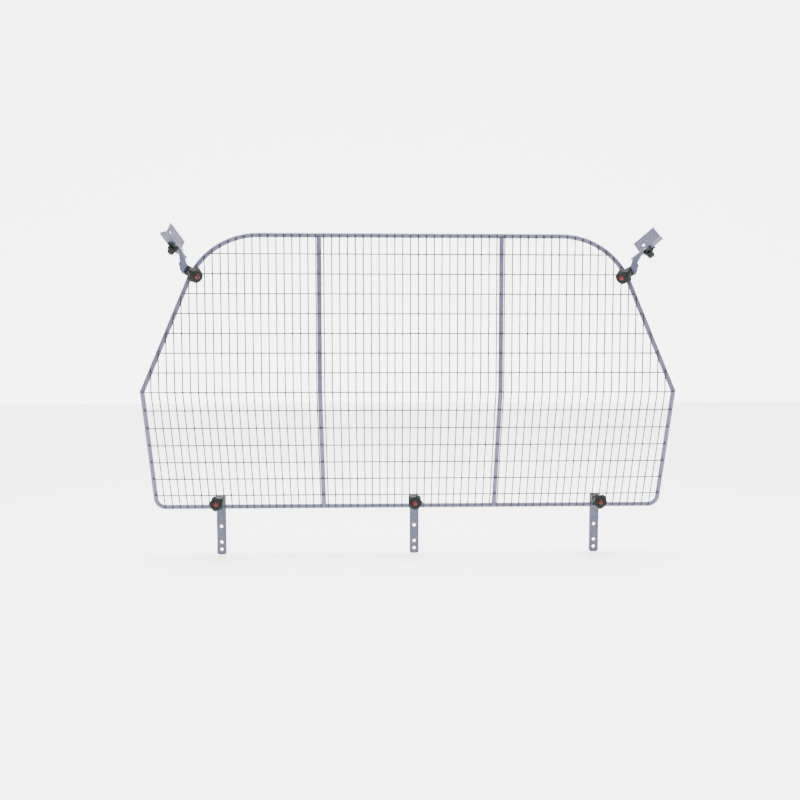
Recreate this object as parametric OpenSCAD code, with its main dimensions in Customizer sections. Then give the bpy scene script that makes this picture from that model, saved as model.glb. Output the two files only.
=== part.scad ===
// Mesh cargo barrier for the load space of a wagon or van: a round-bar frame filled with
// welded wire mesh, two roof brackets on folding arms and three floor straps, all held to
// the frame by clamps with hand knobs. The floor side leans forward by the bend angle.
// Axes: +X to the right as seen from the load space, +Y towards the seats, +Z up.
// Origin: middle of the pattern of the two outer straps' lower bolt holes, on the seat side.

/* [Frame] */
// Half of the width between the side bars, to bar centre
half_width = 684; // [660:1:720]
// Height of the top bar's centre above the bend line
top_height = 398; // [360:1:440]
// Length of the leaning part, down the slope to the bottom bar's centre
slope_length = 341; // [310:1:345]
// Angle at which the floor side leans forward
bend_angle = 20; // [0:1:25]
// Lean of the upper side bars from the vertical
side_lean = 23.3; // [15:0.1:30]
// Radius of the two top corners, to bar centre
top_corner_r = 195; // [150:1:230]
// Radius of the two bottom corners, to bar centre
bottom_corner_r = 24; // [15:1:40]
// Diameter of the frame bar
bar_d = 12; // [10:0.5:14]

/* [Mesh] */
// Diameter of the mesh wires
wire_d = 3; // [2.5:0.1:3.6]
// Distance between the upright wires
upright_pitch = 20; // [20:1:24]
// Distance between the cross wires
cross_pitch = 50; // [40:1:60]
// Number of upright wires on each side of the middle one
uprights_per_side = 33; // [20:1:33]
// Cross wires above the bend line
cross_above = 7; // [5:1:7]
// Cross wires below the bend line
cross_below = 6; // [4:1:6]
// Distance of the two stiffener bars from the middle
stiffener_x = 232.2; // [200:0.1:240]

/* [Clamps] */
// Diameter of the clamp studs and plate bolts
stud_d = 8; // [6:0.5:8]
// Distance from the frame bar's centre to the stud
stud_offset = 17.6; // [15:0.1:20]
// Distance from the bar's centre to the front of a clamp block
block_front = 40; // [34:1:46]
// Size across the lobes of a clamp knob
knob_d = 42; // [36:1:44]
// Length of a clamp knob
knob_length = 24; // [22:1:28]
// Diameter of the red cap in a clamp knob
cap_d = 12; // [10:1:14]

/* [Floor straps] */
// Distance of the outer straps from the middle
outer_strap_x = 513; // [490:1:520]
// Place of the middle strap, a little off centre to miss the wires
middle_strap_x = 14; // [13:0.5:14]
// Width of a strap
strap_w = 25; // [20:1:30]
// Thickness of a strap
strap_t = 5; // [4:0.5:6]
// Height of a strap's lower end
strap_end_z = -452; // [-480:1:-430]
// Diameter of the floor bolt holes
strap_hole_d = 9; // [8:0.5:10]

/* [Roof brackets] */
// Height of a bracket clamp's centre on the curved side bar
bracket_z = 303; // [298:1:306]
// Turn of a bracket clamp about the frame bar
bracket_turn = 44; // [40:1:46]
// Swivel of the left roof plate about its bolt
left_swivel = 100.5; // [80:0.5:120]
// Swivel of the right roof plate about its bolt
right_swivel = 109; // [80:0.5:120]
// Length of the roof plate's mounting flange
mount_flange_l = 64; // [55:1:70]
// Width of the roof plate's mounting flange
mount_flange_w = 32; // [28:1:40]
// Length of the roof plate's clamped flange
clamp_flange_l = 92; // [85:1:100]
// Width of the roof plate's clamped flange
clamp_flange_w = 24; // [22:1:28]
// Thickness of the roof plate
plate_t = 3; // [2.5:0.5:4]
// Thickness of the folded arm
arm_t = 4; // [3:0.5:5]
// Width of the folded arm
arm_w = 25; // [20:1:30]

/* [Hidden] */
$fn = 64;
bar_r = bar_d / 2;
wire_r = wire_d / 2;
stud_r = stud_d / 2;
// depth by which welded wires and bars sink into each other
weld = 0.3;
// running clearance of a stud in its bores
fit = 0.05;
// gap between parts that move against each other
gap = 0.3;
eps = 0.01;
// how much fatter a sharp bend is than its bar
bulge = 1.04;
// how much thinner the bar gets in the top corner bends, and how far straight runs reach in
thinning = 0.02;
lap = 0.5;
elbow_weld_r = 6.6;

// layers of the mesh and the frame, measured along +Y in the upper part
bar_y = wire_r + bar_r - weld;
cross_y = -2 * wire_r + weld;
stiffener_y = cross_y + wire_r + bar_r - weld;

// upper outline: straight top, round corners, leaning sides
elbow_z = bar_y * tan(bend_angle / 2);
corner_x = half_width - tan(side_lean) * (top_height - elbow_z);
corner_turn = 90 - side_lean;
corner_run = top_corner_r * tan(corner_turn / 2);
arc_x = corner_x - corner_run;
arc_z = top_height - top_corner_r;
arc_end_z = top_height - corner_run * cos(side_lean);
function side_x(z) = z > arc_end_z
    ? arc_x + sqrt(pow(top_corner_r, 2) - pow(z - arc_z, 2))
    : half_width - tan(side_lean) * (z - elbow_z);
function top_z(x) = x <= arc_x ? top_height
    : x < side_x(arc_end_z) ? arc_z + sqrt(pow(top_corner_r, 2) - pow(x - arc_x, 2))
    : elbow_z + (half_width - x) / tan(side_lean);

// bottom bar's centre
foot_y = slope_length * sin(bend_angle) + bar_y * cos(bend_angle);
foot_z = -slope_length * cos(bend_angle) + bar_y * sin(bend_angle);

// floor strap holes, measured up from the strap's lower end
strap_holes = [14.5, 34.5, 78];
strap_corner = 5.2;
strap_top = stud_offset + 10;

// the drawing starts from the middle of the bend line; the bolt pattern is its origin
mount_y = foot_y + bar_r + gap + strap_t;
mount_z = strap_end_z + (strap_holes[0] + strap_holes[1]) / 2;

// bracket clamp on the top corner's arc
bracket_lean = asin((bracket_z - arc_z) / top_corner_r);
bracket_x = side_x(bracket_z);

// clamp parts, measured from the bar's centre towards the knob
block_half_u = 14;
block_half_t = 16.5;
// the bracket clamps' blocks are narrower
bracket_half_t = 9;
bracket_out = 10;
// the bracket clamps stand this much lower on their bars than the floor clamps
bracket_low = 6;
washer_t = 1.6;
washer_r = 10;
knob_z = block_front + washer_t + 2 * gap;
knob_r = knob_d / 2;
cap_r = cap_d / 2;
cap_seat = 3;
stud_end = knob_z + knob_length - 9;
head_r = 9;
head_t = 4;
back_t = 4;
foot_k = 9.6;
foot_start = 4;
foot_end = 31;

// the arms are bent to suit their side of the vehicle: each roof plate bolt's place, and the
// tilt and turn of its axis
left_bolt = [596.5, 4.9, 369.3];
right_bolt = [606.3, 2.6, 365.6];
bolt_tilt = 49;
left_bolt_turn = 14.5;
right_bolt_turn = 34;
// the bolt's place on the clamped flange, along the fold and away from it
bolt_run = 46.5;
bolt_in = 11;
pad_t = 7;
pad_r = 12;
plate_knob_l = 14;
plate_knob_r = 9.5;
plate_head_r = 7;
plate_head_t = 4.5;
mount_hole_d = 8;

// the arm's second fold from its first: away from the bar, along the bar, towards the knob
web_end = [8, 14.7, -18.6];
neck_t = 3.2;
narrow_w = 17;
left_tab_turn = 151;
right_tab_turn = 145.5;
tab_edge = 15;
tab_w = 20;

// ---- shared placement ----

// every part is drawn around the middle of the bend line and moved to the origin
module in_place() {
    translate([0, -mount_y, -mount_z]) children();
}

// the leaning plane of the floor side
module leaning() {
    rotate([bend_angle, 0, 0]) children();
}

// a clamp's frame: X away from the bar, Y along the bar, Z towards the knob
module at_clamp(place, lean, turn) {
    translate(place) rotate([0, -lean, 0]) rotate([90, 0, 0]) rotate([0, -turn, 0]) children();
}

module at_strap(x) {
    at_clamp([x, foot_y, foot_z], 90, 0) children();
}

module at_bracket() {
    at_clamp([bracket_x, bar_y, bracket_z], bracket_lean, bracket_turn) children();
}

// the bracket clamp's washer, knob, cap and stud end, set lower
module at_low_bracket() {
    at_bracket() translate([0, 0, -bracket_low]) children();
}

// the roof plate bolt's frame: Y along the bolt, towards its head
module at_bolt(side, swivel) {
    translate(side == "left" ? left_bolt : right_bolt)
        rotate([bolt_tilt, 0, side == "left" ? left_bolt_turn : right_bolt_turn])
        rotate([0, swivel, 0]) children();
}

// the arm's bolted tab points from the bolt towards the frame
module at_tab(side) {
    at_bolt(side, side == "left" ? left_tab_turn : right_tab_turn) children();
}

// right-hand pieces are drawn in place, left-hand ones are their mirror image
module on_side(side) {
    if (side == "right") children();
    else mirror([1, 0, 0]) children();
}

// a bar or wire bent at the mesh's bend line, in the layer at distance y; the bend bulges a
// little where the metal is squeezed
module bent_bar(r, x, y, up, down, sides) {
    bend_z = y * tan(bend_angle / 2);
    translate([x, y, bend_z]) cylinder(r = r, h = up - bend_z, $fn = sides);
    translate([x, y, bend_z]) sphere(r = r * bulge, $fn = sides);
    leaning() translate([x, y, -down]) cylinder(r = r, h = down - bend_z, $fn = sides);
}

module rod_x(r, half, y, z, sides) {
    translate([-half, y, z]) rotate([0, 90, 0]) cylinder(r = r, h = 2 * half, $fn = sides);
}

// ---- frame and mesh ----

// the hoop's ends carry the weld that joins them to the lower hoop
module upper_hoop() {
    side_run = (half_width - side_x(arc_end_z)) / sin(side_lean) + lap;
    color("lightsteelblue") {
        rod_x(bar_r, arc_x + lap, bar_y, top_height, 48);
        for (side = ["left", "right"]) on_side(side) {
            translate([arc_x, bar_y, arc_z]) rotate([90, 0, 0]) rotate([0, 0, side_lean])
                rotate_extrude(angle = corner_turn, $fn = 96)
                    translate([top_corner_r, 0]) circle(r = bar_r - thinning, $fn = 48);
            translate([half_width, bar_y, elbow_z]) rotate([0, -side_lean, 0])
                cylinder(r = bar_r, h = side_run, $fn = 48);
            translate([half_width, bar_y, elbow_z]) sphere(r = elbow_weld_r, $fn = 48);
        }
    }
}

module lower_hoop() {
    elbow_gap = sqrt(pow(elbow_weld_r, 2) - pow(bar_r, 2)) - weld;
    straight = slope_length - bottom_corner_r - elbow_z - elbow_gap;
    color("lightsteelblue") leaning() {
        rod_x(bar_r, half_width - bottom_corner_r, bar_y, -slope_length, 48);
        for (side = ["left", "right"]) on_side(side) {
            translate([half_width - bottom_corner_r, bar_y, bottom_corner_r - slope_length])
                rotate([90, 0, 0]) rotate([0, 0, -90])
                    rotate_extrude(angle = 90, $fn = 96)
                        translate([bottom_corner_r, 0]) circle(r = bar_r, $fn = 48);
            translate([half_width, bar_y, bottom_corner_r - slope_length])
                cylinder(r = bar_r, h = straight, $fn = 48);
        }
    }
}

module upright_wires() {
    color("silver")
        for (i = [-uprights_per_side : uprights_per_side])
            bent_bar(wire_r, i * upright_pitch, 0, top_z(abs(i) * upright_pitch) + 2,
                slope_length + 2, 16);
}

// the cross wires level with the bracket clamps stop short of them
module cross_wires() {
    color("silver") {
        for (j = [0 : cross_above]) {
            z = j * cross_pitch;
            short = abs(z - bracket_z) < block_half_t + 6 ? 12 : 1;
            rod_x(wire_r, side_x(z) - short, cross_y, z, 16);
        }
        leaning() for (j = [1 : cross_below])
            rod_x(wire_r, half_width - 1, cross_y, -j * cross_pitch, 16);
    }
}

module stiffener(side) {
    color("slategray") on_side(side)
        bent_bar(bar_r, stiffener_x, stiffener_y, top_height - bar_r + 1,
            slope_length - bar_r + 1, 48);
}

// ---- clamps ----

module clamp_stud(head_k) {
    color("gray") translate([stud_offset, 0, 0]) {
        translate([0, 0, head_k]) cylinder(r = stud_r, h = stud_end - head_k);
        translate([0, 0, head_k]) rotate_extrude()
            polygon([[0, -head_t], [4, -head_t], [head_r - 2, -head_t + 1.2],
                [head_r, -gap], [head_r, 0], [0, 0]]);
    }
}

module clamp_washer() {
    color("gainsboro") translate([stud_offset, 0, block_front + gap]) difference() {
        cylinder(r = washer_r, h = washer_t);
        translate([0, 0, -1]) cylinder(r = stud_r + fit, h = washer_t + 2);
    }
}

// outline of a five-lobed knob: a round with five shallow hollows
module star(r) {
    difference() {
        circle(r = r);
        for (i = [0 : 4]) rotate([0, 0, 36 + 72 * i])
            translate([r * 2.1, 0]) circle(r = r * 1.3);
    }
}

// the knob narrows from its widest lobes to the seat of the cap
module clamp_knob(angle) {
    color("dimgray") translate([stud_offset, 0, knob_z]) difference() {
        union() {
            cylinder(r = knob_r * 0.62, h = 7);
            intersection() {
                translate([0, 0, 4]) rotate([0, 0, angle])
                    linear_extrude(knob_length - 4) star(knob_r);
                rotate_extrude() polygon([[0, 4], [knob_r - 3, 4], [knob_r, 7],
                    [knob_r, 12], [knob_r * 0.78, knob_length - 3],
                    [knob_r * 0.62, knob_length], [0, knob_length]]);
            }
        }
        translate([0, 0, -1]) cylinder(r = stud_r + fit, h = stud_end - knob_z + 4);
        translate([0, 0, knob_length - cap_seat]) cylinder(r = cap_r + fit, h = cap_seat + 1);
    }
}

module clamp_cap() {
    dome = 3;
    dome_r = (pow(cap_r, 2) + pow(dome, 2)) / (2 * dome);
    color("firebrick") translate([stud_offset, 0, knob_z + knob_length - cap_seat]) {
        translate([0, 0, fit]) cylinder(r = cap_r, h = cap_seat - fit);
        translate([0, 0, cap_seat]) intersection() {
            translate([0, 0, dome - dome_r]) sphere(r = dome_r);
            cylinder(r = cap_r, h = dome + 1);
        }
    }
}

// the floor clamp's block leans back against the mesh, clear of the upright wires
module strap_block(x) {
    back = bar_y - wire_r - gap;
    slope = tan(bend_angle);
    low = stud_offset - block_half_u;
    high = stud_offset + block_half_u - 1.5;
    start = (bar_y + wire_r) / cos(bend_angle) + gap;
    color("dimgray") at_strap(x) difference() {
        rotate([90, 0, 0]) translate([0, 0, -block_half_t]) linear_extrude(2 * block_half_t)
            polygon([[low, start + low * slope], [high, start + high * slope],
                [high, block_front - 3], [high - 3, block_front], [low + 3, block_front],
                [low, block_front - 3]]);
        translate([stud_offset, 0, 0]) cylinder(r = stud_r + fit, h = block_front + 1);
    }
}

module strap(x) {
    length = foot_z + strap_top - strap_end_z;
    color("lightsteelblue") at_strap(x) difference() {
        translate([strap_top - length, 0, -bar_r - gap - strap_t]) linear_extrude(strap_t)
            difference() {
                translate([0, -strap_w / 2]) square([length, strap_w]);
                for (e = [-1, 1]) translate([0, e * strap_w / 2]) rotate([0, 0, 45])
                    square(strap_corner * 1.1, center = true);
            }
        translate([stud_offset, 0, -2 * bar_r - strap_t])
            cylinder(r = stud_r + fit, h = 2 * bar_r + strap_t);
        for (h = strap_holes)
            translate([strap_end_z + h - foot_z, 0, -2 * bar_r - strap_t])
                cylinder(r = strap_hole_d / 2, h = 2 * bar_r + strap_t);
    }
}

module strap_stud(x) {
    at_strap(x) clamp_stud(-bar_r - 2 * gap - strap_t);
}

// ---- roof brackets ----

module bracket_block(side) {
    start = foot_k + arm_t;
    color("dimgray") on_side(side) at_bracket() difference() {
        translate([stud_offset - block_half_u, -bracket_half_t, start])
            cube([block_half_u + bracket_out, 2 * bracket_half_t,
                block_front - bracket_low - start]);
        translate([stud_offset, 0, 0]) cylinder(r = stud_r + fit, h = block_front + 1);
    }
}

module back_jaw(side) {
    inner = -bar_r - 2 * gap;
    color("gray") on_side(side) at_bracket() difference() {
        union() {
            translate([-bar_r - 4, -bracket_half_t, inner - back_t])
                cube([stud_offset + 12 + bar_r + 4, 2 * bracket_half_t, back_t]);
            translate([foot_start + 5, -bracket_half_t, inner - eps])
                cube([3.4, 2 * bracket_half_t, foot_k - inner]);
        }
        translate([stud_offset, 0, inner - back_t - 1]) cylinder(r = stud_r + fit, h = back_t + 2);
    }
}

// a flat bar folded three times: clamped foot, slanting web, twisted neck and bolted tab; the
// metal is a little thicker along each fold
module arm(side) {
    web_run = norm([web_end[0], web_end[2]]);
    web_fall = atan2(-web_end[2], web_end[0]);
    color("lightsteelblue") on_side(side) {
        at_bracket() difference() {
            translate([foot_start, -arm_w / 2, foot_k])
                cube([foot_end - foot_start, arm_w, arm_t]);
            translate([stud_offset, 0, foot_k - 1]) cylinder(r = stud_r + fit, h = arm_t + 2);
        }
        at_bracket() translate([foot_end, 0, foot_k + arm_t / 2]) {
            fold(arm_w);
            rotate([0, web_fall, 0]) translate([0, 0, -arm_t / 2]) linear_extrude(arm_t)
                polygon([[0, -arm_w / 2], [web_run, web_end[1] - arm_w / 2],
                    [web_run, web_end[1] + arm_w / 2], [0, arm_w / 2]]);
            translate(web_end) fold(arm_w);
        }
        hull() {
            at_bracket() translate([foot_end, 0, foot_k + arm_t / 2])
                translate(web_end + [0, (arm_w - narrow_w) / 2 - 0.5, 0])
                cube([neck_t, narrow_w, neck_t], center = true);
            at_tab(side) translate([tab_edge, -gap - arm_t / 2, 0])
                cube([neck_t, neck_t, tab_w - 1], center = true);
        }
        at_tab(side) {
            translate([tab_edge, -gap - arm_t / 2, 0]) rotate([90, 0, 0]) fold(tab_w);
            difference() {
                translate([-tab_w / 2 - 2, -gap - arm_t, -tab_w / 2])
                    cube([tab_edge + tab_w / 2 + 2, arm_t, tab_w]);
                rotate([-90, 0, 0]) translate([0, 0, -10]) cylinder(r = stud_r + fit, h = 12);
            }
        }
    }
}

// the rounded metal along a fold of width w, which runs along Y
module fold(w) {
    rotate([90, 0, 0]) cylinder(r = arm_t / 2 + 0.15, h = w - 0.4, center = true);
}

// an angle plate: X along its fold, Y across the mounting flange, Z across the clamped one
module roof_plate(side, swivel, hole_x, hole_y) {
    color("lightsteelblue") on_side(side) at_bolt(side, swivel)
        translate([-bolt_run, 0, -bolt_in]) difference() {
            union() {
                cube([mount_flange_l, mount_flange_w, plate_t]);
                rotate([-90, 0, 0]) mirror([0, 1, 0]) linear_extrude(plate_t)
                    polygon([[0, 0], [clamp_flange_l, 0], [clamp_flange_l, 6],
                        [bolt_run + 15, clamp_flange_w], [0, clamp_flange_w]]);
            }
            translate([bolt_run, plate_t + 1, bolt_in]) rotate([90, 0, 0])
                cylinder(r = stud_r + fit, h = plate_t + 2);
            translate([hole_x, hole_y, -1]) cylinder(r = mount_hole_d / 2, h = plate_t + 2);
        }
}

module plate_bolt(side, swivel) {
    reach = arm_t + pad_t + plate_knob_l - 5;
    color("gray") on_side(side) at_bolt(side, swivel) rotate([-90, 0, 0]) {
        translate([0, 0, -reach]) cylinder(r = stud_r, h = reach + plate_t);
        translate([0, 0, plate_t]) rotate_extrude()
            polygon([[0, 0], [plate_head_r, 0], [plate_head_r, plate_head_t - 1.5],
                [plate_head_r - 1.5, plate_head_t], [0, plate_head_t]]);
    }
}

module plate_pad(side, swivel) {
    color("dimgray") on_side(side) at_bolt(side, swivel)
        translate([0, -arm_t - 2 * gap, 0]) difference() {
            union() {
                rotate([90, 0, 0]) cylinder(r = pad_r, h = pad_t);
                translate([-20, -pad_t + 0.5, -2.5]) cube([12, 3.5, 5]);
            }
            translate([0, 1, 0]) rotate([90, 0, 0]) cylinder(r = stud_r + fit, h = pad_t + 2);
        }
}

module plate_knob(side, swivel) {
    color("dimgray") on_side(side) at_bolt(side, swivel)
        translate([0, -arm_t - pad_t - 3 * gap, 0]) rotate([90, 0, 0]) difference() {
            union() {
                cylinder(r = plate_knob_r * 0.7, h = 6);
                intersection() {
                    translate([0, 0, 3]) linear_extrude(plate_knob_l - 3) star(plate_knob_r);
                    rotate_extrude() polygon([[0, 3], [plate_knob_r, 5],
                        [plate_knob_r, plate_knob_l - 3],
                        [plate_knob_r - 3, plate_knob_l], [0, plate_knob_l]]);
                }
            }
            translate([0, 0, -1]) cylinder(r = stud_r + fit, h = plate_knob_l - 1);
        }
}

// round screw on the left roof plate, beyond the end of its mounting flange
module stop_screw() {
    color("gray") on_side("left") at_bolt("left", left_swivel)
        translate([mount_flange_l - bolt_run + 5.5, plate_t, -bolt_in + 5.7]) rotate([-90, 0, 0])
            cylinder(r = 5.5, h = 8);
}

// ---- drawing ----

in_place() upper_hoop();
in_place() lower_hoop();
in_place() upright_wires();
in_place() cross_wires();
in_place() stiffener("left");  // left_stiffener
in_place() stiffener("right");  // right_stiffener

in_place() strap(-outer_strap_x);  // left_strap
in_place() strap_block(-outer_strap_x);  // left_strap_block
in_place() strap_stud(-outer_strap_x);  // left_strap_stud
in_place() at_strap(-outer_strap_x) clamp_washer();  // left_strap_washer
in_place() at_strap(-outer_strap_x) clamp_knob(20);  // left_strap_knob
in_place() at_strap(-outer_strap_x) clamp_cap();  // left_strap_cap

in_place() strap(middle_strap_x);  // middle_strap
in_place() strap_block(middle_strap_x);  // middle_strap_block
in_place() strap_stud(middle_strap_x);  // middle_strap_stud
in_place() at_strap(middle_strap_x) clamp_washer();  // middle_strap_washer
in_place() at_strap(middle_strap_x) clamp_knob(50);  // middle_strap_knob
in_place() at_strap(middle_strap_x) clamp_cap();  // middle_strap_cap

in_place() strap(outer_strap_x);  // right_strap
in_place() strap_block(outer_strap_x);  // right_strap_block
in_place() strap_stud(outer_strap_x);  // right_strap_stud
in_place() at_strap(outer_strap_x) clamp_washer();  // right_strap_washer
in_place() at_strap(outer_strap_x) clamp_knob(35);  // right_strap_knob
in_place() at_strap(outer_strap_x) clamp_cap();  // right_strap_cap

in_place() arm("left");  // left_arm
in_place() back_jaw("left");  // left_back_jaw
in_place() bracket_block("left");  // left_clamp_block
in_place() on_side("left") at_low_bracket() clamp_stud(bracket_low - bar_r - 2 * gap - back_t);  // left_clamp_stud
in_place() on_side("left") at_low_bracket() clamp_washer();  // left_clamp_washer
in_place() on_side("left") at_low_bracket() clamp_knob(10);  // left_clamp_knob
in_place() on_side("left") at_low_bracket() clamp_cap();  // left_clamp_cap

in_place() arm("right");  // right_arm
in_place() back_jaw("right");  // right_back_jaw
in_place() bracket_block("right");  // right_clamp_block
in_place() on_side("right") at_low_bracket() clamp_stud(bracket_low - bar_r - 2 * gap - back_t);  // right_clamp_stud
in_place() on_side("right") at_low_bracket() clamp_washer();  // right_clamp_washer
in_place() on_side("right") at_low_bracket() clamp_knob(10);  // right_clamp_knob
in_place() on_side("right") at_low_bracket() clamp_cap();  // right_clamp_cap

in_place() roof_plate("left", left_swivel, 12, 10);  // left_roof_plate
in_place() plate_bolt("left", left_swivel);  // left_plate_bolt
in_place() plate_pad("left", left_swivel);  // left_plate_pad
in_place() plate_knob("left", left_swivel);  // left_plate_knob
in_place() stop_screw();  // left_stop_screw

in_place() roof_plate("right", right_swivel, 46, 10);  // right_roof_plate
in_place() plate_bolt("right", right_swivel);  // right_plate_bolt
in_place() plate_pad("right", right_swivel);  // right_plate_pad
in_place() plate_knob("right", right_swivel);  // right_plate_knob
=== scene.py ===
# Looks of the cargo barrier: powder-coated frame, mesh and brackets, black moulded clamp parts,
# red knob caps and zinc hardware, on a plain pale floor.
import math

import bmesh
import bpy
from mathutils import Matrix, Vector


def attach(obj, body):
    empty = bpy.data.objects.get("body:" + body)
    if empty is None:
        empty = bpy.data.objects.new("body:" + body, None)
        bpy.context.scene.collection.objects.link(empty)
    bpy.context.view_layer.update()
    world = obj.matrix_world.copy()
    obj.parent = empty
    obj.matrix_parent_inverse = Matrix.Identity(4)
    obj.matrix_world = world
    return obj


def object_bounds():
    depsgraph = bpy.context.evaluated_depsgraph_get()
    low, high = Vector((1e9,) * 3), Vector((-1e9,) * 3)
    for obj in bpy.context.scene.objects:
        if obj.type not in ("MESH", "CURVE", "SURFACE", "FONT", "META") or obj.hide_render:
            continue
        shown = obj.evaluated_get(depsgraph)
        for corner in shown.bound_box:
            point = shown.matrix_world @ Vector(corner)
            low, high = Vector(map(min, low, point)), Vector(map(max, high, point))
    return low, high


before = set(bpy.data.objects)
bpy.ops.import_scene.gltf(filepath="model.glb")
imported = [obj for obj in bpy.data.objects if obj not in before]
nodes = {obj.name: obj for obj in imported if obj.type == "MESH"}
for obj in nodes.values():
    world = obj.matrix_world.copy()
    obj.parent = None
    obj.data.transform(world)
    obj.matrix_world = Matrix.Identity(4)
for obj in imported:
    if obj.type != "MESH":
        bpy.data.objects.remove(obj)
cad_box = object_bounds()

# The middle of the bend line, measured from the part's own origin at the floor bolt pattern. The
# mesh, the welds and the camera are placed from it.
BEND = Vector((0, -0.13469465574, 0.4275))

# ------------------------------------------------------------------ materials


def new_material(name):
    mat = bpy.data.materials.new(name)
    mat.use_nodes = True
    tree = mat.node_tree
    tree.nodes.clear()
    out = tree.nodes.new("ShaderNodeOutputMaterial")
    bsdf = tree.nodes.new("ShaderNodeBsdfPrincipled")
    tree.links.new(bsdf.outputs["BSDF"], out.inputs["Surface"])
    return mat, tree, bsdf


def add(tree, kind, **inputs):
    node = tree.nodes.new(kind)
    for key, value in inputs.items():
        node.inputs[key.replace("_", " ")].default_value = value
    return node


def noise(tree, coord, scale, detail=4.0, rough=0.5):
    node = add(tree, "ShaderNodeTexNoise", Scale=scale, Detail=detail, Roughness=rough)
    tree.links.new(coord, node.inputs["Vector"])
    return node.outputs["Fac"]


def ramp(tree, value, stops):
    node = tree.nodes.new("ShaderNodeValToRGB")
    node.color_ramp.interpolation = "EASE"
    while len(node.color_ramp.elements) < len(stops):
        node.color_ramp.elements.new(0.5)
    for element, (place, colour) in zip(node.color_ramp.elements, stops):
        element.position = place
        element.color = (*colour, 1) if len(colour) == 3 else colour
    tree.links.new(value, node.inputs["Fac"])
    return node.outputs["Color"]


def span(tree, value, low, high, to_low, to_high):
    node = add(tree, "ShaderNodeMapRange", From_Min=low, From_Max=high, To_Min=to_low, To_Max=to_high)
    tree.links.new(value, node.inputs["Value"])
    return node.outputs["Result"]


def mix(tree, factor, a, b):
    node = tree.nodes.new("ShaderNodeMix")
    node.data_type = "RGBA"
    tree.links.new(factor, node.inputs[0])
    for socket, value in ((node.inputs[6], a), (node.inputs[7], b)):
        if isinstance(value, tuple):
            socket.default_value = (*value, 1)
        else:
            tree.links.new(value, socket)
    return node.outputs[2]


def bump(tree, bsdf, layers):
    """Stacks bumps, each (height, strength, distance)."""
    last = None
    for height, strength, distance in layers:
        node = add(tree, "ShaderNodeBump", Strength=strength, Distance=distance)
        tree.links.new(height, node.inputs["Height"])
        if last is not None:
            tree.links.new(last, node.inputs["Normal"])
        last = node.outputs["Normal"]
    tree.links.new(last, bsdf.inputs["Normal"])


def edges(tree, coord, low, high):
    """Worn edges: bright where the surface is sharply convex, broken up by noise."""
    geo = tree.nodes.new("ShaderNodeNewGeometry")
    wear = span(tree, geo.outputs["Pointiness"], low, high, 0.0, 1.0)
    breakup = span(tree, noise(tree, coord, 180.0, 5.0, 0.6), 0.42, 0.62, 0.0, 1.0)
    node = tree.nodes.new("ShaderNodeMath")
    node.operation = "MULTIPLY"
    tree.links.new(wear, node.inputs[0])
    tree.links.new(breakup, node.inputs[1])
    return node.outputs[0]


def powder_coat(name, base, dark, light, rough=0.42, wear=0.5):
    mat, tree, bsdf = new_material(name)
    coord = tree.nodes.new("ShaderNodeTexCoord").outputs["Object"]
    cloud = noise(tree, coord, 9.0, 3.0)
    tone = ramp(tree, cloud, [(0.32, dark), (0.5, base), (0.72, light)])
    speck = span(tree, noise(tree, coord, 2600.0, 2.0, 0.7), 0.62, 0.72, 0.0, 0.35)
    tone = mix(tree, speck, tone, tuple(min(1.0, c * 1.25) for c in light))
    scuff = span(tree, noise(tree, coord, 55.0, 6.0, 0.65), 0.66, 0.74, 0.0, 0.25)
    tone = mix(tree, scuff, tone, tuple(c * 0.72 for c in dark))
    rub = edges(tree, coord, 0.56, 0.68)
    tone = mix(tree, span(tree, rub, 0.0, 1.0, 0.0, wear), tone, (0.19, 0.19, 0.215))
    tree.links.new(tone, bsdf.inputs["Base Color"])
    tree.links.new(span(tree, noise(tree, coord, 70.0, 4.0), 0.3, 0.7, rough - 0.07, rough + 0.1),
                   bsdf.inputs["Roughness"])
    bsdf.inputs["Specular IOR Level"].default_value = 0.3
    bsdf.inputs["Coat Weight"].default_value = 0.06
    bsdf.inputs["Coat Roughness"].default_value = 0.22
    peel = noise(tree, coord, 1150.0, 2.0, 0.45)
    flow = noise(tree, coord, 210.0, 3.0, 0.5)
    bump(tree, bsdf, [(peel, 0.22, 0.00022), (flow, 0.12, 0.0004)])
    return mat


def moulded(name, base, light, rough=0.5):
    mat, tree, bsdf = new_material(name)
    coord = tree.nodes.new("ShaderNodeTexCoord").outputs["Object"]
    tone = ramp(tree, noise(tree, coord, 40.0, 4.0), [(0.3, base), (0.75, light)])
    rub = edges(tree, coord, 0.55, 0.66)
    tone = mix(tree, span(tree, rub, 0.0, 1.0, 0.0, 0.55), tone, tuple(c * 2.4 for c in light))
    tree.links.new(tone, bsdf.inputs["Base Color"])
    tree.links.new(span(tree, noise(tree, coord, 120.0, 5.0), 0.3, 0.7, rough - 0.1, rough + 0.12),
                   bsdf.inputs["Roughness"])
    bsdf.inputs["Specular IOR Level"].default_value = 0.12
    grain = add(tree, "ShaderNodeTexVoronoi", Scale=1500.0)
    tree.links.new(coord, grain.inputs["Vector"])
    bump(tree, bsdf, [(grain.outputs["Distance"], 0.28, 0.00022),
                      (noise(tree, coord, 320.0, 3.0), 0.15, 0.0003)])
    return mat


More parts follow.
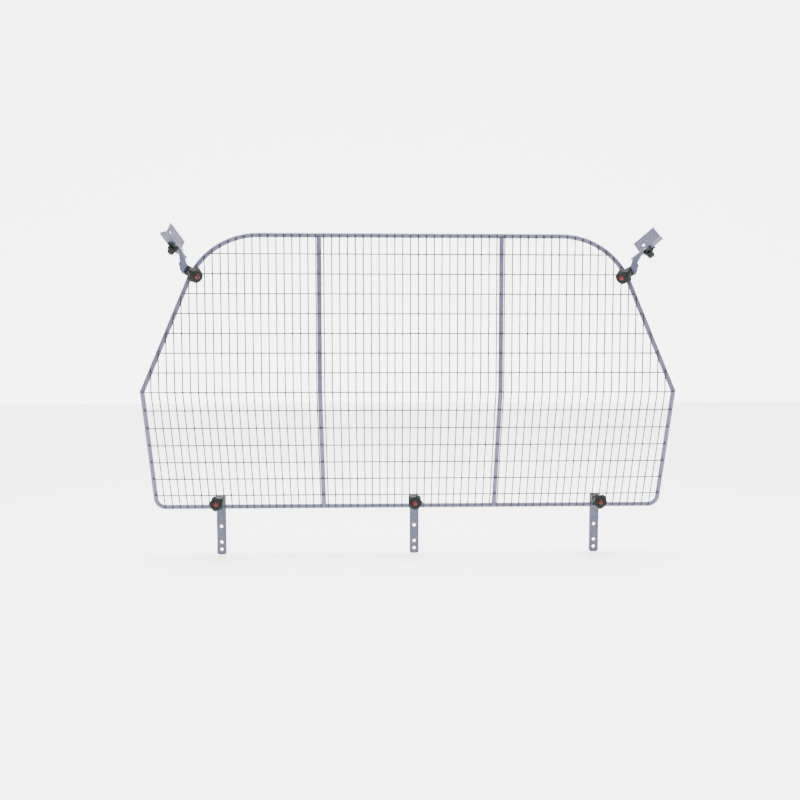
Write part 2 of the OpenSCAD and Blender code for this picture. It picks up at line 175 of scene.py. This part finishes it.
def glossy_cap(name):
    mat, tree, bsdf = new_material(name)
    coord = tree.nodes.new("ShaderNodeTexCoord").outputs["Object"]
    tone = ramp(tree, noise(tree, coord, 160.0, 3.0),
                [(0.3, (0.076, 0.0011, 0.0044)), (0.7, (0.108, 0.0021, 0.0068))])
    tree.links.new(tone, bsdf.inputs["Base Color"])
    tree.links.new(span(tree, noise(tree, coord, 420.0, 4.0), 0.3, 0.7, 0.22, 0.38),
                   bsdf.inputs["Roughness"])
    bsdf.inputs["Specular IOR Level"].default_value = 0.2
    bsdf.inputs["Coat Weight"].default_value = 0.08
    bsdf.inputs["Coat Roughness"].default_value = 0.15
    bump(tree, bsdf, [(noise(tree, coord, 900.0, 2.0), 0.1, 0.0002)])
    return mat


def zinc(name):
    mat, tree, bsdf = new_material(name)
    coord = tree.nodes.new("ShaderNodeTexCoord").outputs["Object"]
    spangle = add(tree, "ShaderNodeTexVoronoi", Scale=520.0)
    tree.links.new(coord, spangle.inputs["Vector"])
    tone = ramp(tree, spangle.outputs["Distance"],
                [(0.0, (0.26, 0.26, 0.26)), (0.6, (0.40, 0.40, 0.39))])
    tree.links.new(tone, bsdf.inputs["Base Color"])
    bsdf.inputs["Metallic"].default_value = 0.9
    tree.links.new(span(tree, noise(tree, coord, 300.0, 5.0), 0.3, 0.7, 0.26, 0.5),
                   bsdf.inputs["Roughness"])
    bump(tree, bsdf, [(noise(tree, coord, 1600.0, 3.0), 0.2, 0.0001)])
    return mat


def weld_metal(name):
    mat, tree, bsdf = new_material(name)
    coord = tree.nodes.new("ShaderNodeTexCoord").outputs["Object"]
    tone = ramp(tree, noise(tree, coord, 260.0, 4.0),
                [(0.3, (0.020, 0.020, 0.026)), (0.7, (0.034, 0.035, 0.044))])
    tree.links.new(tone, bsdf.inputs["Base Color"])
    tree.links.new(span(tree, noise(tree, coord, 500.0, 4.0), 0.3, 0.7, 0.35, 0.55),
                   bsdf.inputs["Roughness"])
    bump(tree, bsdf, [(noise(tree, coord, 700.0, 4.0), 0.5, 0.0005)])
    return mat


PAINT = powder_coat("frame_powder_coat", base=(0.081, 0.083, 0.145), dark=(0.070, 0.072, 0.128),
                    light=(0.095, 0.097, 0.165))
MESH = powder_coat("mesh_powder_coat", base=(0.017, 0.017, 0.021), dark=(0.013, 0.013, 0.016),
                   light=(0.023, 0.023, 0.028), rough=0.5, wear=0.0)
PLATE = powder_coat("bracket_powder_coat", base=(0.058, 0.060, 0.103), dark=(0.050, 0.052, 0.091),
                    light=(0.068, 0.070, 0.118), rough=0.45)
BLACK = moulded("black_moulding", (0.0055, 0.0074, 0.0070), (0.0098, 0.0124, 0.0118), 0.58)
CAP = glossy_cap("red_cap")
ZINC = zinc("zinc_plate")
WELD = weld_metal("painted_weld")

RULES = (
    (("wires",), MESH), (("hoop", "stiffener"), PAINT), (("cap",), CAP),
    (("knob", "block", "pad"), BLACK), (("stud", "washer", "bolt", "screw"), ZINC),
)


def material_for(name):
    for words, mat in RULES:
        if any(word in name.split("_") or name.endswith(word) for word in words):
            return mat
    return PLATE


for name, obj in nodes.items():
    obj.data.materials.clear()
    obj.data.materials.append(material_for(name))

# ------------------------------------------------------------------ edges of the CAD parts


def soften(name, width, segments=2, angle=40):
    """Rounds the sharp edges of a CAD part a little, as the real pressing or moulding has."""
    mod = nodes[name].modifiers.new("edge_round", "BEVEL")
    mod.width = width
    mod.segments = segments
    mod.limit_method = "ANGLE"
    mod.angle_limit = math.radians(angle)
    mod.use_clamp_overlap = True


for name in nodes:
    if name.endswith(("knob", "block")):
        soften(name, 0.0007)
    elif name.endswith("pad"):
        soften(name, 0.0005)
    elif name.endswith(("strap", "roof_plate")):
        soften(name, 0.0004)

# ------------------------------------------------------------------ spot welds and weld beads

BEND_ANGLE = math.radians(20)
PITCH_X, PITCH_Z = 0.020, 0.050
HALF_WIDTH, TOP, CORNER_R, LEAN = 0.684, 0.398, 0.195, math.radians(23.3)
BAR_Y = 0.0072
ROWS = range(-6, 8)
COLUMNS = range(-33, 34)
CLAMP_ROW = 6  # the roof clamps grip the frame at this row's ends, so no bead goes there
LOW_BAR_Z = -0.341
WELD_Y = -0.00135
END_Y, SIDE_Y = 0.0009, 0.0006
END_INSET, SIDE_INSET, CLEAR_OF_BAR = 0.0030, 0.0035, 0.008
SPOT_SIZE = (0.0015, 0.0010, 0.0015)
END_SIZE = (0.0026, 0.0018, 0.0034)
SIDE_SIZE = (0.0036, 0.0026, 0.0024)
ELBOW_Z = BAR_Y * math.tan(BEND_ANGLE / 2)
CORNER_X = HALF_WIDTH - math.tan(LEAN) * (TOP - ELBOW_Z)
RUN = CORNER_R * math.tan((math.pi / 2 - LEAN) / 2)
ARC_X, ARC_Z = CORNER_X - RUN, TOP - CORNER_R
ARC_END = TOP - RUN * math.cos(LEAN)


def side_x(z):
    if z > ARC_END:
        return ARC_X + math.sqrt(CORNER_R ** 2 - (z - ARC_Z) ** 2)
    return HALF_WIDTH - math.tan(LEAN) * (z - ELBOW_Z)


def top_z(x):
    if x <= ARC_X:
        return TOP
    if x < side_x(ARC_END):
        return ARC_Z + math.sqrt(CORNER_R ** 2 - (x - ARC_X) ** 2)
    return ELBOW_Z + (HALF_WIDTH - x) / math.tan(LEAN)


def mesh_point(x, y, s):
    """A point of the mesh: x across, y in depth, s up from the bend line along the mesh."""
    if s >= 0:
        return Vector((x, y, s)) + BEND
    return Vector((x, y * math.cos(BEND_ANGLE) - s * math.sin(BEND_ANGLE),
                   y * math.sin(BEND_ANGLE) + s * math.cos(BEND_ANGLE))) + BEND


def blobs(name, places, mat, seed):
    """Small flattened, slightly uneven weld spots, as one piece riding on the frame."""
    bm = bmesh.new()
    bmesh.ops.create_icosphere(bm, subdivisions=2, radius=1.0)
    ball = [v.co.copy() for v in bm.verts]
    faces = [[v.index for v in f.verts] for f in bm.faces]
    bm.free()
    verts, tris = [], []
    state = seed
    for place, size in places:
        state = (state * 1103515245 + 12345) % 2147483648
        jitter = 0.88 + 0.24 * state / 2147483648
        scale = Matrix.Diagonal((size[0] * jitter, size[1] * jitter, size[2] / jitter, 1))
        twist = Matrix.Rotation(jitter * 9.0, 4, "Y")
        lean = Matrix.Rotation(BEND_ANGLE if place[2] < BEND[2] - 0.001 else 0.0, 4, "X")
        turn = Matrix.Translation(place) @ lean @ twist @ scale
        start = len(verts)
        verts += [turn @ v for v in ball]
        tris += [[start + k for k in f] for f in faces]
    mesh = bpy.data.meshes.new(name)
    mesh.from_pydata(verts, [], tris)
    for face in mesh.polygons:
        face.use_smooth = True
    mesh.materials.append(mat)
    obj = bpy.data.objects.new(name, mesh)
    bpy.context.scene.collection.objects.link(obj)
    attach(obj, "frame")
    return obj


crossings = []
for j in ROWS:
    s = j * PITCH_Z
    reach = side_x(s) - CLEAR_OF_BAR if s > 0 else HALF_WIDTH - CLEAR_OF_BAR
    for i in COLUMNS:
        if abs(i) * PITCH_X < reach:
            crossings.append((mesh_point(i * PITCH_X, WELD_Y, s), SPOT_SIZE))
blobs("spot_welds", crossings, WELD, 11)

ends = []
for i in COLUMNS:
    top = top_z(abs(i) * PITCH_X)
    ends.append((mesh_point(i * PITCH_X, END_Y, top - END_INSET), END_SIZE))
    ends.append((mesh_point(i * PITCH_X, END_Y, LOW_BAR_Z + END_INSET), END_SIZE))
for j in ROWS:
    s = j * PITCH_Z
    if j == CLAMP_ROW:
        continue
    reach = (side_x(s) if s > 0 else HALF_WIDTH) - SIDE_INSET
    for sign in (-1, 1):
        ends.append((mesh_point(sign * reach, SIDE_Y, s), SIDE_SIZE))
blobs("wire_end_welds", ends, WELD, 5)

# ------------------------------------------------------------------ floor, light and camera


def stage_plane(name, size, place, turn, colour, rough, glow):
    mesh = bpy.data.meshes.new(name)
    bm = bmesh.new()
    bmesh.ops.create_grid(bm, x_segments=1, y_segments=1, size=size)
    bm.to_mesh(mesh)
    bm.free()
    obj = bpy.data.objects.new(name, mesh)
    obj.location = place
    obj.rotation_euler = turn
    bpy.context.scene.collection.objects.link(obj)
    mat, tree, bsdf = new_material(name + "_surface")
    bsdf.inputs["Base Color"].default_value = (*colour, 1)
    bsdf.inputs["Roughness"].default_value = rough
    bsdf.inputs["Emission Color"].default_value = (1, 1, 1, 1)
    bsdf.inputs["Emission Strength"].default_value = glow
    mesh.materials.append(mat)


FLOOR_Z = cad_box[0][2] - 0.004
stage_plane("backdrop", 12.0, (0, 6.0, 0), (math.pi / 2, 0, 0), (0.95, 0.95, 0.95), 0.8, 3.7)
stage_plane("floor", 30.0, (0, 0, FLOOR_Z), (0, 0, 0), (0.93, 0.93, 0.935), 0.7, 1.4)


def area_light(name, place, target, size, power):
    light = bpy.data.lights.new(name, "AREA")
    light.shape = "RECTANGLE"
    light.size, light.size_y = size
    light.energy = power
    obj = bpy.data.objects.new(name, light)
    obj.location = place
    aim = Vector(target) - Vector(place)
    obj.rotation_euler = aim.to_track_quat("-Z", "Y").to_euler()
    bpy.context.scene.collection.objects.link(obj)


area_light("sky_panel", (0.0, -0.3, 3.4), (0, 0, 0.4), (3.6, 1.6), 430)
area_light("key_panel", (-1.6, -2.6, 2.4), (0, 0, 0.4), (1.8, 1.8), 34)
area_light("fill_panel", (2.2, -2.4, 1.0), (0, 0, 0.3), (1.6, 1.6), 12)

world = bpy.data.worlds.new("studio")
world.use_nodes = True
world.node_tree.nodes["Background"].inputs["Color"].default_value = (1.0, 1.0, 1.0, 1)
world.node_tree.nodes["Background"].inputs["Strength"].default_value = 0.75
bpy.context.scene.world = world

SENSOR_MM, LENS_MM = 36.0, 37.4112
SHIFT_X, SHIFT_Y = -0.0148, 0.0046375
CAMERA_PLACE = Vector((-0.0711, -2.1299, 0.1212)) + BEND
YAW, PITCH = -0.0348, -0.0707

camera = bpy.data.cameras.new("camera")
camera.sensor_width = SENSOR_MM
camera.lens = LENS_MM
camera.shift_x = SHIFT_X
camera.shift_y = SHIFT_Y
camera.clip_end = 60.0
cam = bpy.data.objects.new("camera", camera)
forward = Vector((-math.sin(YAW) * math.cos(PITCH), math.cos(YAW) * math.cos(PITCH), math.sin(PITCH)))
right = Vector((math.cos(YAW), math.sin(YAW), 0))
up = right.cross(forward)
turn = Matrix((right, up, -forward)).transposed()
cam.matrix_world = Matrix.Translation(CAMERA_PLACE) @ turn.to_4x4()
bpy.context.scene.collection.objects.link(cam)
bpy.context.scene.camera = cam
